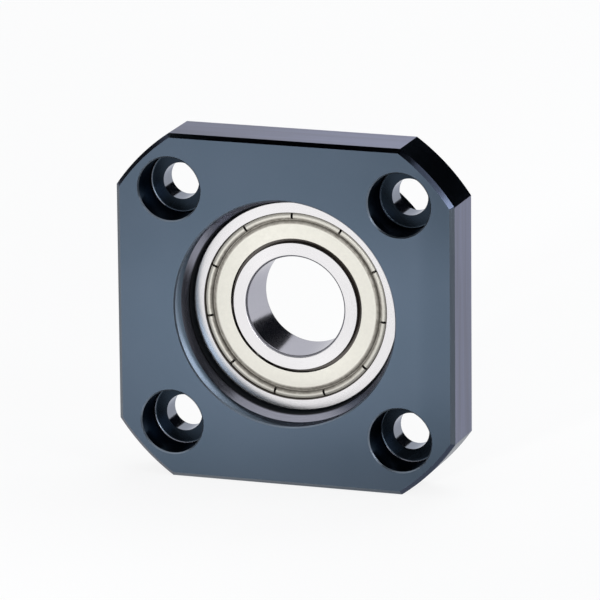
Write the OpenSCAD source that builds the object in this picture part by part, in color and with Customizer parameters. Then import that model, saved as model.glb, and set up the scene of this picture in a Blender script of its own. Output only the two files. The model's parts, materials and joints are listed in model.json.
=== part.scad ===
// End support for a ball screw: a square flange housing with a pilot boss behind it, and a
// shielded deep groove ball bearing seated in it from the front.
// Millimetres. The bore axis lies along Y and +Z is up. The origin is on the bore axis in the
// seating plane of the flange: the flange lies at -Y, the pilot boss at +Y.

/* [Flange] */
// Side of the square flange
flange_side = 52; // [50:0.5:55]
// Thickness of the flange
flange_t = 9; // [8.5:0.5:12]
// Steel left between a counterbore and the turned corner
corner_rim = 1.75; // [1:0.05:3]
// Chamfer round the front edge
front_chamfer = 0.6; // [0.2:0.1:1]
// Chamfer round the back edge
back_chamfer = 0.4; // [0.2:0.1:1]

/* [Pilot boss] */
// Diameter of the ground pilot
boss_d = 40; // [38:0.5:44]
// Length of the pilot behind the seating plane
boss_len = 8; // [7:0.5:14]
// Lead chamfer at the free end of the pilot
boss_chamfer = 0.8; // [0.3:0.1:1.2]
// Width of the grinding relief cut into the seating face round the pilot
relief_w = 1; // [0.5:0.1:1.5]
// Depth of the grinding relief
relief_depth = 0.3; // [0.1:0.05:0.5]

/* [Fixing holes] */
// Number of fixing holes
hole_count = 4; // [2:2:4]
// Steel left between the pilot's surface and a clearance hole
hole_web = 2.25; // [1.8:0.05:3]
// Diameter of the clearance hole for the screw
hole_d = 5.5; // [4.5:0.1:6.6]
// Diameter of the counterbore for the screw head
counterbore_d = 9.5; // [8:0.1:10]
// Depth of the counterbore below the front face
counterbore_depth = 5.5; // [4:0.1:6]
// Edge break at the mouth of the counterbore
counterbore_chamfer = 0.2; // [0.1:0.05:0.4]

/* [Bearing seat] */
// Radial margin of the open recess round the bearing
recess_margin = 1; // [0.5:0.1:1.5]
// Depth of the straight wall of the recess
recess_depth = 2.8; // [2:0.1:3.5]
// Edge break at the mouth of the recess
recess_chamfer = 0.2; // [0.1:0.05:0.4]
// Depth of the bearing's face below the front face
bearing_depth = 5; // [4.5:0.1:5.5]
// Height of the lip that stops the bearing at the back
lip_h = 2; // [1.5:0.1:3]
// Chamfer at the outer mouth of that opening
lip_chamfer = 0.5; // [0.2:0.1:0.8]
// Radial clearance between the bearing and its seat
seat_clearance = 0.01; // [0.005:0.005:0.03]

/* [Bearing rings] */
// Bore of the inner ring
bearing_bore = 15; // [14:0.1:16]
// Outside diameter of the outer ring
bearing_od = 32; // [31.6:0.1:32.4]
// Width of both rings
bearing_w = 9; // [8.8:0.1:10]
// Corner radius at the bore and at the outside
ring_corner_r = 0.4; // [0.3:0.05:0.6]
// Edge break at the inner edges of both rings
ring_edge_break = 0.1; // [0.05:0.01:0.15]
// Height of both rings' shoulders above the bottom of the raceway groove
shoulder_h = 0.75; // [0.6:0.05:0.9]
// Step from the inner ring's shoulder down to its outer land, under the shield
land_step = 0.45; // [0.3:0.05:0.6]
// Step from the outer ring's shoulder out to the wall that holds the shield
shield_seat_step = 0.7; // [0.6:0.05:0.8]
// Depth of the counterbore that holds the shield
shield_seat_depth = 1.4; // [1.35:0.05:1.5]

/* [Balls] */
// Number of balls
ball_count = 9; // [7:1:9]
// Diameter of a ball
ball_d = 4.7625; // [4.6:0.0125:4.8125]
// How much larger the raceway grooves' radius is than the ball's, in percent
groove_easing = 4; // [3:0.5:6]
// Running clearance between a ball and each raceway
ball_clearance = 0.01; // [0.005:0.005:0.02]

/* [Cage] */
// Thickness of the cage's sheet
cage_sheet = 0.4; // [0.3:0.05:0.5]
// Radial width of the cage's ribbon
cage_width = 1.8; // [1.5:0.1:2]
// Clearance between a ball and its pocket
pocket_clearance = 0.1; // [0.06:0.02:0.14]
// Diameter of a rivet's shank
rivet_d = 0.9; // [0.8:0.05:1]
// Diameter of a rivet's head
rivet_head_d = 1.5; // [1.3:0.05:1.6]
// Height of a rivet's head
rivet_head_h = 0.35; // [0.25:0.05:0.4]
// Radial clearance between a rivet and its hole
rivet_clearance = 0.01; // [0.005:0.005:0.02]

/* [Shields] */
// Thickness of the shield's sheet
shield_sheet = 0.3; // [0.25:0.01:0.32]
// Radial gap between the shield and the inner ring's outer land
shield_gap = 0.5; // [0.3:0.05:0.6]
// Depth of the shield's flat below the ring's face
shield_sink = 0.45; // [0.4:0.02:0.5]
// Middle radius of the bends at the bottom of the shield's channel
channel_r = 0.25; // [0.22:0.01:0.3]
// Middle radius of the rolled rim
rim_r = 0.36; // [0.32:0.01:0.4]
// Height of the channel's bend centres below the rolled rim's centre
rim_rise = 0.17; // [0.1:0.01:0.2]
// Reach of the rim's foot into the snap groove
foot_reach = 0.2; // [0.1:0.02:0.25]
// Clearance between the shield and the outer ring
shield_clearance = 0.02; // [0.01:0.01:0.03]
// Number of slits across the rolled rim
slit_count = 11; // [8:1:14]
// Width of a slit
slit_w = 0.35; // [0.2:0.05:0.5]
// Angle of the first slit, from +X towards +Z
slit_start = 92; // [0:1:360]

/* [Hidden] */
$fn = 180;
past = 1;                                    // how far a cutter runs past the face it opens

front_y = -flange_t;                         // front face of the flange
bearing_front_y = front_y + bearing_depth;   // front face of the bearing
bearing_y = bearing_front_y + bearing_w / 2; // middle plane of the bearing
lip_y = bearing_front_y + bearing_w;         // inner face of the lip, where the bearing stops
seat_r = bearing_od / 2 + seat_clearance;
recess_r = bearing_od / 2 + recess_margin;
lip_r = bearing_od / 2 - lip_h;
hole_circle_r = boss_d / 2 + hole_web + hole_d / 2;
corner_r = hole_circle_r + counterbore_d / 2 + corner_rim;

ball_r = ball_d / 2;
pitch_r = (bearing_bore + bearing_od) / 4;   // the balls run midway between bore and outside
groove_r = ball_r * (1 + groove_easing / 100);
inner_race_r = pitch_r - ball_r - ball_clearance;
outer_race_r = pitch_r + ball_r + ball_clearance;
inner_shoulder_r = inner_race_r + shoulder_h;
outer_shoulder_r = outer_race_r - shoulder_h;
inner_land_r = inner_shoulder_r - land_step;
shield_seat_r = outer_shoulder_r + shield_seat_step;
shield_bore_r = inner_land_r + shield_gap;
pocket_r = ball_r + pocket_clearance;
ball_step = 360 / ball_count;

shield_flat_y = bearing_w / 2 - shield_sink - shield_sheet / 2;  // middle of the flat's sheet
channel_y = shield_flat_y - channel_r;                           // centre of the channel's bends
rim_y = channel_y + rim_rise;                                    // centre of the rolled rim
leg_x = shield_seat_r - shield_clearance - shield_sheet / 2;     // middle of the outer leg
rim_x = leg_x - rim_r;
channel_x = rim_x - rim_r - channel_r;
flat_end_x = channel_x - 2 * channel_r;
foot_y = bearing_w / 2 - shield_seat_depth;                      // floor of the shield's seat
slit_angle = 360 * slit_w / (2 * PI * rim_x);

steel_blue = [0.40, 0.45, 0.51];
bright_steel = [0.86, 0.87, 0.89];
ball_steel = [0.78, 0.80, 0.83];
cage_steel = [0.66, 0.66, 0.66];
shield_steel = [0.87, 0.86, 0.82];

// ---------------------------------------------------------------- helpers

// Turns a profile (radius, place along the axis) about the bore axis.
module turned() {
    rotate([-90, 0, 0]) rotate_extrude() children();
}

// Holds its children once at each step round the bore axis, turning from +X towards +Z.
module around(count, first = 0) {
    for (i = [0:count - 1]) rotate([0, -first - i * 360 / count, 0]) children();
}

// Puts its children at the middle plane of the bearing.
module in_bearing() {
    translate([0, bearing_y, 0]) children();
}

// What a fillet of radius r takes off the corner at (x, y) of a profile. sx and sy give the
// direction in which the corner points.
module corner_cut(x, y, r, sx, sy) {
    difference() {
        translate([x - (sx > 0 ? r : past), y - (sy > 0 ? r : past)]) square(r + past);
        translate([x - sx * r, y - sy * r]) circle(r);
        translate([x - (sx > 0 ? 2 * r : 0), y - (sy > 0 ? r + past : -r)])
            square([2 * r, past]);
    }
}

// ---------------------------------------------------------------- housing

// Section across the flange: thickness along x, width along y, edges chamfered.
module flange_section() {
    half = flange_side / 2;
    polygon([
        [front_y, half - front_chamfer], [front_y + front_chamfer, half],
        [-back_chamfer, half], [0, half - back_chamfer],
        [0, -half + back_chamfer], [-back_chamfer, -half],
        [front_y + front_chamfer, -half], [front_y, -half + front_chamfer]]);
}

// The flange: a milled square inside a turned disc.
module flange() {
    intersection() {
        rotate([90, 0, 90]) linear_extrude(2 * corner_r, center = true) flange_section();
        rotate([0, 0, 90]) linear_extrude(2 * corner_r, center = true) flange_section();
        turned() polygon([
            [0, front_y], [corner_r - front_chamfer, front_y],
            [corner_r, front_y + front_chamfer], [corner_r, -back_chamfer],
            [corner_r - back_chamfer, 0], [0, 0]]);
    }
}

// The pilot boss, with a lead chamfer at its end.
module boss() {
    r = boss_d / 2;
    turned() polygon([
        [0, -past], [r, -past], [r, boss_len - boss_chamfer], [r - boss_chamfer, boss_len],
        [0, boss_len]]);
}

// The grinding relief: a shallow ring groove in the seating face, with a sloped outer side.
module relief() {
    r = boss_d / 2;
    turned() polygon([
        [r - past, -relief_depth], [r + relief_w - relief_depth, -relief_depth],
        [r + relief_w, 0], [r + relief_w, past], [r - past, past]]);
}

// Everything bored out on the axis: recess, lead-in cone, bearing seat and lip opening.
module centre_bore() {
    cone_y = front_y + recess_depth;
    turned() polygon([
        [0, front_y - past], [recess_r + recess_chamfer, front_y - past],
        [recess_r + recess_chamfer, front_y], [recess_r, front_y + recess_chamfer],
        [recess_r, cone_y], [seat_r, cone_y + recess_r - seat_r],
        [seat_r, lip_y], [lip_r, lip_y], [lip_r, boss_len - lip_chamfer],
        [lip_r + lip_chamfer, boss_len], [lip_r + lip_chamfer, boss_len + past],
        [0, boss_len + past]]);
}

// One counterbored fixing hole, about its own axis.
module fixing_hole() {
    head_r = counterbore_d / 2;
    floor_y = front_y + counterbore_depth;
    turned() polygon([
        [0, front_y - past], [head_r + counterbore_chamfer, front_y - past],
        [head_r + counterbore_chamfer, front_y], [head_r, front_y + counterbore_chamfer],
        [head_r, floor_y], [hole_d / 2, floor_y], [hole_d / 2, past], [0, past]]);
}

module housing() {
    color(steel_blue) difference() {
        union() {
            difference() {
                flange();
                relief();
            }
            boss();
        }
        centre_bore();
        around(hole_count, 45) translate([0, 0, hole_circle_r]) fixing_hole();
    }
}

// ---------------------------------------------------------------- bearing rings

// The seat for one shield, cut from the outer ring's section: counterbore and snap groove.
module shield_seat_section() {
    face = bearing_w / 2;
    groove_w = shield_sheet + 2 * shield_clearance;
    translate([0, foot_y]) square([shield_seat_r, shield_seat_depth + past]);
    translate([0, foot_y]) square([shield_seat_r + foot_reach + shield_clearance, groove_w]);
    polygon([
        [shield_seat_r - past, face + past], [shield_seat_r - past, face - ring_edge_break],
        [shield_seat_r, face - ring_edge_break], [shield_seat_r + ring_edge_break, face],
        [shield_seat_r + ring_edge_break, face + past]]);
}

module outer_ring() {
    r = bearing_od / 2;
    color(bright_steel) in_bearing() turned() difference() {
        translate([outer_shoulder_r, -bearing_w / 2]) square([r - outer_shoulder_r, bearing_w]);
        translate([outer_race_r - groove_r, 0]) circle(groove_r);
        for (end = [0, 1]) mirror([0, end]) {
            shield_seat_section();
            corner_cut(r, bearing_w / 2, ring_corner_r, 1, 1);
        }
    }
}

// The step that leaves room for one shield, cut from the inner ring's section.
module land_step_section() {
    face = bearing_w / 2;
    step_y = foot_y + shield_sheet;
    polygon([
        [inner_land_r - ring_edge_break, face + past], [inner_land_r - ring_edge_break, face],
        [inner_land_r, face - ring_edge_break], [inner_land_r, step_y],
        [inner_shoulder_r + past, step_y], [inner_shoulder_r + past, face + past]]);
}

module inner_ring() {
    r = bearing_bore / 2;
    color(bright_steel) in_bearing() turned() difference() {
        translate([r, -bearing_w / 2]) square([inner_shoulder_r - r, bearing_w]);
        translate([inner_race_r + groove_r, 0]) circle(groove_r);
        for (end = [0, 1]) mirror([0, end]) {
            land_step_section();
            corner_cut(r, bearing_w / 2, ring_corner_r, -1, 1);
        }
    }
}

// ---------------------------------------------------------------- balls and cage

module ball(i) {
    color(ball_steel) in_bearing() rotate([0, -(i - 1) * ball_step, 0])
        translate([0, 0, pitch_r]) sphere(ball_r);
}

// The part of the ribbon's width between the middle plane and height h, on the side given.
module ribbon(h) {
    difference() {
        rotate([-90, 0, 0]) cylinder(r = pitch_r + cage_width / 2, h = h);
        translate([0, -past, 0])
            rotate([-90, 0, 0]) cylinder(r = pitch_r - cage_width / 2, h = h + 2 * past);
    }
}

// The outside of the cup over one ball, on the +Y side, still solid.
module cup() {
    outside_r = pocket_r + cage_sheet;
    turned() intersection() {
        circle(outside_r);
        square(outside_r);
    }
}

// One pressed half of the cage, on the +Y side of the middle plane: flat lands between the
// balls, and a cupped pocket over each ball.
module cage_half() {
    difference() {
        intersection() {
            ribbon(pocket_r + 2 * cage_sheet);
            union() {
                ribbon(cage_sheet);
                around(ball_count) translate([0, 0, pitch_r]) cup();
            }
        }
        around(ball_count) translate([0, 0, pitch_r]) sphere(pocket_r);
        around(ball_count, ball_step / 2) translate([0, -past, pitch_r])
            rotate([-90, 0, 0]) cylinder(d = rivet_d + 2 * rivet_clearance, h = 2 * past);
    }
}

module cage_front() {
    color(cage_steel) in_bearing() mirror([0, 1, 0]) cage_half();
}

module cage_back() {
    color(cage_steel) in_bearing() cage_half();
}

// One rivet through both halves, with a domed head on each side.
module rivet() {
    head_r = rivet_head_d / 2;
    dome_r = (head_r * head_r + rivet_head_h * rivet_head_h) / (2 * rivet_head_h);
    turned() {
        translate([0, -cage_sheet]) square([rivet_d / 2, 2 * cage_sheet]);
        for (end = [0, 1]) mirror([0, end]) intersection() {
            translate([0, cage_sheet + rivet_head_h - dome_r]) circle(dome_r);
            translate([0, cage_sheet]) square([head_r + past, rivet_head_h + past]);
        }
    }
}

module cage_rivets() {
    color(cage_steel) in_bearing()
        around(ball_count, ball_step / 2) translate([0, 0, pitch_r]) rivet();
}

// ---------------------------------------------------------------- shields

// A quarter or half ring of sheet, centred at (x, y), that lies in the box from low to high.
module bend(x, y, r, low, high) {
    translate([x, y]) intersection() {
        difference() {
            circle(r + shield_sheet / 2);
            circle(r - shield_sheet / 2);
        }
        translate(low) square(high - low);
    }
}

// Section of the shield: a flat, a channel, a rolled rim, and a foot in the snap groove.
module shield_section() {
    t = shield_sheet;
    reach = rim_r + t;
    translate([shield_bore_r, shield_flat_y - t / 2])
        square([flat_end_x - shield_bore_r, t]);
    bend(flat_end_x, channel_y, channel_r, [0, 0], [reach, reach]);
    bend(channel_x, channel_y, channel_r, [-reach, -reach], [reach, 0]);
    translate([channel_x + channel_r - t / 2, channel_y]) square([t, rim_rise]);
    bend(rim_x, rim_y, rim_r, [-reach, 0], [reach, reach]);
    translate([leg_x - t / 2, foot_y]) square([t, rim_y - foot_y]);
    translate([leg_x - t / 2, foot_y + shield_clearance]) square([t + foot_reach, t]);
}

// A radial slit across the rolled rim, open from half its rise outwards.
module slit() {
    slit_x = channel_x + channel_r / 2;
    rotate([-90, 0, 0]) rotate([0, 0, -slit_angle / 2]) rotate_extrude(angle = slit_angle)
        translate([slit_x, channel_y + rim_rise / 2])
            square([shield_seat_r - slit_x + past, bearing_w]);
}

// The shield on the +Y side of the bearing, its rolled rim slit so that it can be pressed in.
module shield() {
    difference() {
        turned() shield_section();
        around(slit_count, slit_start) slit();
    }
}

module shield_front() {
    color(shield_steel) in_bearing() mirror([0, 1, 0]) shield();
}

module shield_back() {
    color(shield_steel) in_bearing() shield();
}

// ---------------------------------------------------------------- the part

housing();
outer_ring();
inner_ring();
cage_front();
cage_back();
cage_rivets();
shield_front();
shield_back();
for (i = [1:ball_count]) ball(i);
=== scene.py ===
"""The looks of a ball screw end support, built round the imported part.

Everything is in metres. The bore axis lies along Y, the flange's front faces -Y and +Z is up.
Profiles are lists of (radius, place along the axis), and are turned round the bore axis.
"""

import json
import math

import bmesh
import bpy
from bpy.props import (
    FloatProperty, FloatVectorProperty, IntProperty, PointerProperty,
)
from mathutils import Matrix, Vector


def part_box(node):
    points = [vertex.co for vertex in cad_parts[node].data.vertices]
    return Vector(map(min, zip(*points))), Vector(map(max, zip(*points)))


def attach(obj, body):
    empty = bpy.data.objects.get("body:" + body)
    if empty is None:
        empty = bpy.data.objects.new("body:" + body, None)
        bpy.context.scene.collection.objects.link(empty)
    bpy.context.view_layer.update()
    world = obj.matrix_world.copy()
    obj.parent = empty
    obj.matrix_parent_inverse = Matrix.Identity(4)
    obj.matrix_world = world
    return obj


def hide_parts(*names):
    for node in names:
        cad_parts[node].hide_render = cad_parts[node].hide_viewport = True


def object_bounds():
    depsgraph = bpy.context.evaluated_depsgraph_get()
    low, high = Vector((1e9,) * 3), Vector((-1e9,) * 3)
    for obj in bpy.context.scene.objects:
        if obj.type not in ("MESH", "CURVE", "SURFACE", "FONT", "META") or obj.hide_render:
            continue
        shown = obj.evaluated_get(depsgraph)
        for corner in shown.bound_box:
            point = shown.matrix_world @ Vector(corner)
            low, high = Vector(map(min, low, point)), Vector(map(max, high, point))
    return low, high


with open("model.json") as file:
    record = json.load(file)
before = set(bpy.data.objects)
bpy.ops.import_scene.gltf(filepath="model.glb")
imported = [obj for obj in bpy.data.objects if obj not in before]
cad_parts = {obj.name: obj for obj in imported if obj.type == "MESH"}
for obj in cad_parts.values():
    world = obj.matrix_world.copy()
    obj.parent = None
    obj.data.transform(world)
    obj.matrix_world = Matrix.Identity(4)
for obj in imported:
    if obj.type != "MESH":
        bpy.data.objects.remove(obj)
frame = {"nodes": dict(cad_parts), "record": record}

bl_info = {
    "name": "Ball Screw End Support",
    "version": (1, 0, 0),
    "blender": (4, 5, 0),
    "location": "3D View > Sidebar > End Support",
    "description": "Builds the finished housing, bearing and studio of a ball screw end support",
    "category": "Object",
}

CAD_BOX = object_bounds()
MM = 0.001
MOUNTS = {mount["name"]: mount["dims"] for mount in frame["record"]["mounts"]}
HOUSING_LOW, HOUSING_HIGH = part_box("housing")
BEARING_LOW, BEARING_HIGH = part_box("outer_ring")
FIXED_BODY = "housing"

HOUSING_PIECE = "housing_turned_and_milled"
WELD = 1e-7            # points nearer to each other than this are one
NEAR = 0.02 * MM       # a face's centre this near to a surface lies on it
PAST = 1 * MM          # how far a cutter reaches past what it cuts
SMOOTH_UNDER = 26      # a bend of fewer degrees is shaded smooth
ROUND_OVER = 28        # a bend of more degrees is worn round
ROUND_SEGMENTS = 2
HOUSING_SEGMENTS = 288
HOLE_SEGMENTS = 96
RING_SEGMENTS = 320
SHIELD_SEGMENTS = 352
RIVET_SEGMENTS = 40


# ---------------------------------------------------------------- sizes and colours

def length(name, description, default):
    """A length in metres, as a property."""
    return FloatProperty(name=name, description=description, default=default, min=0.0,
                         precision=5, unit="LENGTH", subtype="DISTANCE")


def angle(name, description, degrees):
    """An angle, as a property."""
    return FloatProperty(name=name, description=description, default=math.radians(degrees),
                         unit="ROTATION", subtype="ANGLE")


def colour(name, description, default):
    """A linear colour, as a property."""
    return FloatVectorProperty(name=name, description=description, default=default, size=3,
                               min=0.0, max=1.0, subtype="COLOR")


class HousingSizes(bpy.types.PropertyGroup):
    """Sizes of the flanged housing."""
    flange_side: length("Flange side", "Side of the square flange",
                        HOUSING_HIGH[0] - HOUSING_LOW[0])
    flange_thickness: length("Flange thickness", "Thickness of the flange", -HOUSING_LOW[1])
    corner_diameter: length("Corner diameter", "Diameter over the turned corners", 63 * MM)
    front_chamfer: length("Front chamfer", "Chamfer round the front edge", 0.6 * MM)
    back_chamfer: length("Back chamfer", "Chamfer round the back edge", 0.4 * MM)
    boss_diameter: length("Boss diameter", "Diameter of the ground pilot",
                          2 * MM * MOUNTS["pilot_boss"]["r_mm"])
    boss_length: length("Boss length", "Length behind the seating plane", HOUSING_HIGH[1])
    boss_chamfer: length("Boss chamfer", "Lead chamfer at the pilot's free end", 0.8 * MM)
    relief_width: length("Relief width", "Width of the grinding relief", 1 * MM)
    relief_depth: length("Relief depth", "Depth of the grinding relief", 0.3 * MM)
    recess_diameter: length("Recess diameter", "Open recess in front of the bearing", 34 * MM)
    recess_depth: length("Recess depth", "Depth of the recess's straight wall", 2.8 * MM)
    seat_diameter: length("Seat diameter", "Bore that holds the bearing", 32.02 * MM)
    lip_diameter: length("Lip diameter", "Opening in the lip behind the bearing", 28 * MM)
    lip_chamfer: length("Lip chamfer", "Chamfer at the lip's outer mouth", 0.5 * MM)
    mouth_chamfer: length("Mouth chamfer", "Edge break at the recess and the counterbores",
                          0.2 * MM)
    edge_round: length("Edge rounding", "Width of the worn edges", 0.09 * MM)


class HoleSizes(bpy.types.PropertyGroup):
    """Sizes of the counterbored fixing holes."""
    count: IntProperty(name="Count", description="Number of fixing holes",
                       default=MOUNTS["fixing_holes"]["count"], min=2)
    circle_diameter: length("Circle diameter", "Circle through the hole centres",
                            MM * MOUNTS["fixing_holes"]["pcd_mm"])
    first_angle: angle("First hole", "Angle of the first hole, from +X towards +Z", 45)
    diameter: length("Hole diameter", "Clearance for the screw",
                     2 * MM * MOUNTS["fixing_holes"]["hole_r_mm"])
    head_diameter: length("Counterbore diameter", "Room for the screw's head", 9.5 * MM)
    head_depth: length("Counterbore depth", "Depth below the front face", 5.5 * MM)
    floor_fillet: length("Floor fillet", "Rounding at the counterbore's floor", 0.35 * MM)


class BearingSizes(bpy.types.PropertyGroup):
    """Sizes of the bearing's two rings."""
    bore: length("Bore", "Bore of the inner ring", 2 * MM * MOUNTS["shaft_bore"]["r_mm"])
    outside: length("Outside", "Outside diameter of the outer ring",
                    BEARING_HIGH[0] - BEARING_LOW[0])
    width: length("Width", "Width of both rings", BEARING_HIGH[1] - BEARING_LOW[1])
    corner_radius: length("Corner radius", "Rounding at the bore and the outside", 0.4 * MM)
    edge_break: length("Edge break", "Chamfer at the rings' inner edges", 0.1 * MM)
    ball_diameter: length("Ball diameter", "Diameter of a ball", 4.7625 * MM)
    ball_clearance: length("Ball clearance", "Room between ball and raceway", 0.01 * MM)
    groove_radius: length("Groove radius", "Radius of the raceway grooves", 2.4765 * MM)
    shoulder_height: length("Shoulder height", "Height above the raceway's bottom", 0.75 * MM)
    land_step: length("Land step", "Inner ring's step under the shield", 0.45 * MM)
    seat_step: length("Seat step", "Outer ring's step at the shield's seat", 0.7 * MM)
    seat_depth: length("Seat depth", "Depth of the shield's seat", 1.4 * MM)
    snap_depth: length("Snap depth", "Depth of the groove that holds the shield", 0.22 * MM)
    snap_width: length("Snap width", "Width of the groove that holds the shield", 0.34 * MM)


class ShieldSizes(bpy.types.PropertyGroup):
    """Sizes of the pressed shields."""
    sheet: length("Sheet", "Thickness of the sheet", 0.3 * MM)
    gap: length("Gap", "Gap to the inner ring", 0.5 * MM)
    sink: length("Sink", "Depth of the flat below the ring's face", 0.45 * MM)
    channel_radius: length("Channel radius", "Middle radius of the channel's bends", 0.25 * MM)
    rim_radius: length("Rim radius", "Middle radius of the rolled rim", 0.36 * MM)
    rim_rise: length("Rim rise", "Rim's centre above the channel's", 0.17 * MM)
    foot_reach: length("Foot reach", "Reach of the foot into its groove", 0.2 * MM)
    foot_bend: length("Foot bend", "Middle radius of the foot's bend", 0.17 * MM)
    clearance: length("Clearance", "Room between shield and outer ring", 0.02 * MM)
    slit_count: IntProperty(name="Slits", description="Number of slits across the rim",
                            default=11, min=1)
    slit_width: length("Slit width", "Width of a slit", 0.35 * MM)
    slit_start: angle("First slit", "Angle of the first slit, from +X towards +Z", 92)


class CageSizes(bpy.types.PropertyGroup):
    """Sizes of the rivets that hold the cage together."""
    rivet_count: IntProperty(name="Rivets", description="Number of rivets", default=9, min=1)
    sheet: length("Sheet", "Thickness of one cage half", 0.4 * MM)
    shank_diameter: length("Shank diameter", "Diameter of a rivet's shank", 0.9 * MM)
    head_diameter: length("Head diameter", "Diameter of a rivet's head", 1.5 * MM)
    head_height: length("Head height", "Height of a rivet's head", 0.35 * MM)


class Finishes(bpy.types.PropertyGroup):
    """Colours of the finishes."""
    ground_oxide: colour("Ground oxide", "Black oxide on ground faces", (0.032, 0.047, 0.065))
    milled_oxide: colour("Milled oxide", "Black oxide on milled flats", (0.130, 0.142, 0.215))
    chamfer_oxide: colour("Chamfer oxide", "Black oxide on the chamfers", (0.042, 0.052, 0.080))
    cone_oxide: colour("Cone oxide", "Thin oxide on the lead-in cone", (0.270, 0.275, 0.330))
    drilled_oxide: colour("Drilled oxide", "Thin oxide in the fixing holes", (0.240, 0.255, 0.290))
    faced_oxide: colour("Faced oxide", "Black oxide on the counterbores' floors",
                        (0.024, 0.035, 0.050))
    recess_oxide: colour("Recess oxide", "Black oxide on the recess's wall",
                         (0.058, 0.080, 0.105))
    turned_oxide: colour("Turned oxide", "Black oxide on turned faces", (0.021, 0.027, 0.036))
    worn_oxide: colour("Worn oxide", "Thin oxide along worn edges", (0.120, 0.145, 0.180))
    ring_steel: colour("Ring steel", "Ground bearing steel", (0.900, 0.885, 0.895))
    bore_steel: colour("Bore steel", "Bore of the inner ring", (0.460, 0.460, 0.510))
    # Painted shade: the rings' surfaces beside and under the shields, down in the gaps, are given
    # this dark colour.
    land_painted_shade: colour("Land steel", "Unground land beside the shield", (0.170, 0.155, 0.145))
    shield_steel: colour("Shield steel", "Plated shield sheet", (0.900, 0.880, 0.800))
    # Painted shade, used in the shields' channel, on their rims and in their slits.
    shield_painted_shade: colour("Shield painted shade", "Dull film in the shield's channel",
                         (0.085, 0.074, 0.062))
    cage_steel: colour("Cage steel", "Pressed cage sheet", (0.560, 0.550, 0.530))
    ball_steel: colour("Ball steel", "Polished balls", (0.800, 0.810, 0.830))
    # Grease and painted shade on the balls' sides.
    grease: colour("Grease", "Dark grease on the balls' sides", (0.016, 0.014, 0.011))
    floor: colour("Floor", "Pale studio floor", (0.900, 0.900, 0.900))


class StudioSizes(bpy.types.PropertyGroup):
    """The camera's place, and the size of the floor."""
    camera_azimuth: angle("Azimuth", "Camera's angle to the right of the front", 18.9)
    camera_elevation: angle("Elevation", "Camera's angle above the floor", 14.61)
    camera_roll: angle("Roll", "Camera's turn about its own axis", -0.55)
    camera_distance: length("Distance", "From the camera to its target", 1.0)
    camera_lens: FloatProperty(name="Lens", description="Focal length in millimetres",
                               default=408.7, min=1.0, unit="CAMERA")
    target: FloatVectorProperty(name="Target", description="Point at the picture's centre",
                                default=(0.000727, -0.0039, 0.001016), size=3,
                                subtype="XYZ", unit="LENGTH", precision=5)
    floor_side: length("Floor side", "Side of the square floor", 6.0)


class EndSupport(bpy.types.PropertyGroup):
    """All sizes and colours of the end support."""
    housing: PointerProperty(type=HousingSizes)
    holes: PointerProperty(type=HoleSizes)
    bearing: PointerProperty(type=BearingSizes)
    shields: PointerProperty(type=ShieldSizes)
    cage: PointerProperty(type=CageSizes)
    finishes: PointerProperty(type=Finishes)
    studio: PointerProperty(type=StudioSizes)


# ---------------------------------------------------------------- profiles

ARC_STEP = 9        # degrees between the points of a bend
GROOVE_STEP = 4     # the same in a raceway
FILLET_STEP = 15    # the same in a fillet


def arc(centre, radius, start, end, step=ARC_STEP):
    """Points on an arc from start to end, in degrees, both ends included."""
    steps = max(2, round(abs(end - start) / step))
    turns = [math.radians(start + (end - start) * i / steps) for i in range(steps + 1)]
    return [(centre[0] + radius * math.cos(t), centre[1] + radius * math.sin(t))
            for t in turns]


def mirrored(half):
    """A whole profile from its half on the +Y side, given from the inside round outwards."""
    return half + [(r, -y) for r, y in reversed(half) if y > 0]


def without_repeats(points):
    """The points with neighbours that coincide taken out."""
    kept = []
    for point in points:
        if not kept or math.dist(point, kept[-1]) > WELD:
            kept.append(point)
    if math.dist(kept[0], kept[-1]) <= WELD:
        kept.pop()
    return kept


def sheet_outline(path, thickness):
    """The closed outline of a sheet whose middle follows a path."""
    half = thickness / 2
    left, right = [], []
    for i, point in enumerate(path):
        before = Vector(path[max(i - 1, 0)])
        after = Vector(path[min(i + 1, len(path) - 1)])
        along = (after - before).normalized()
        side = Vector((-along.y, along.x)) * half
        left.append(tuple(Vector(point) + side))
        right.append(tuple(Vector(point) - side))
    return left + right[::-1]


def area(points):
    """Signed area of a closed profile."""
    pairs = zip(points, points[1:] + points[:1])
    return sum(a[0] * b[1] - b[0] * a[1] for a, b in pairs) / 2


def housing_profile(size):
    """The housing turned round the bore axis, before the square is milled."""
    front = -size.flange_thickness
    corner = size.corner_diameter / 2
    boss = size.boss_diameter / 2
    recess = size.recess_diameter / 2
    seat = size.seat_diameter / 2
    lip = size.lip_diameter / 2
    mouth = size.mouth_chamfer
    relief = size.relief_depth
    cone_y = front + size.recess_depth
    lip_y = bearing_middle() + bpy.context.scene.end_support.bearing.width / 2
    return [
        (corner - size.front_chamfer, front), (corner, front + size.front_chamfer),
        (corner, -size.back_chamfer), (corner - size.back_chamfer, 0),
        (boss + size.relief_width, 0), (boss + size.relief_width - relief, -relief),
        (boss, -relief), (boss, size.boss_length - size.boss_chamfer),
        (boss - size.boss_chamfer, size.boss_length),
        (lip + size.lip_chamfer, size.boss_length), (lip, size.boss_length - size.lip_chamfer),
        (lip, lip_y), (seat, lip_y), (seat, cone_y + recess - seat), (recess, cone_y),
        (recess, front + mouth), (recess + mouth, front)]


def bearing_middle():
    """Place of the bearing's middle plane along the axis."""
    return (BEARING_LOW[1] + BEARING_HIGH[1]) / 2


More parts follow.
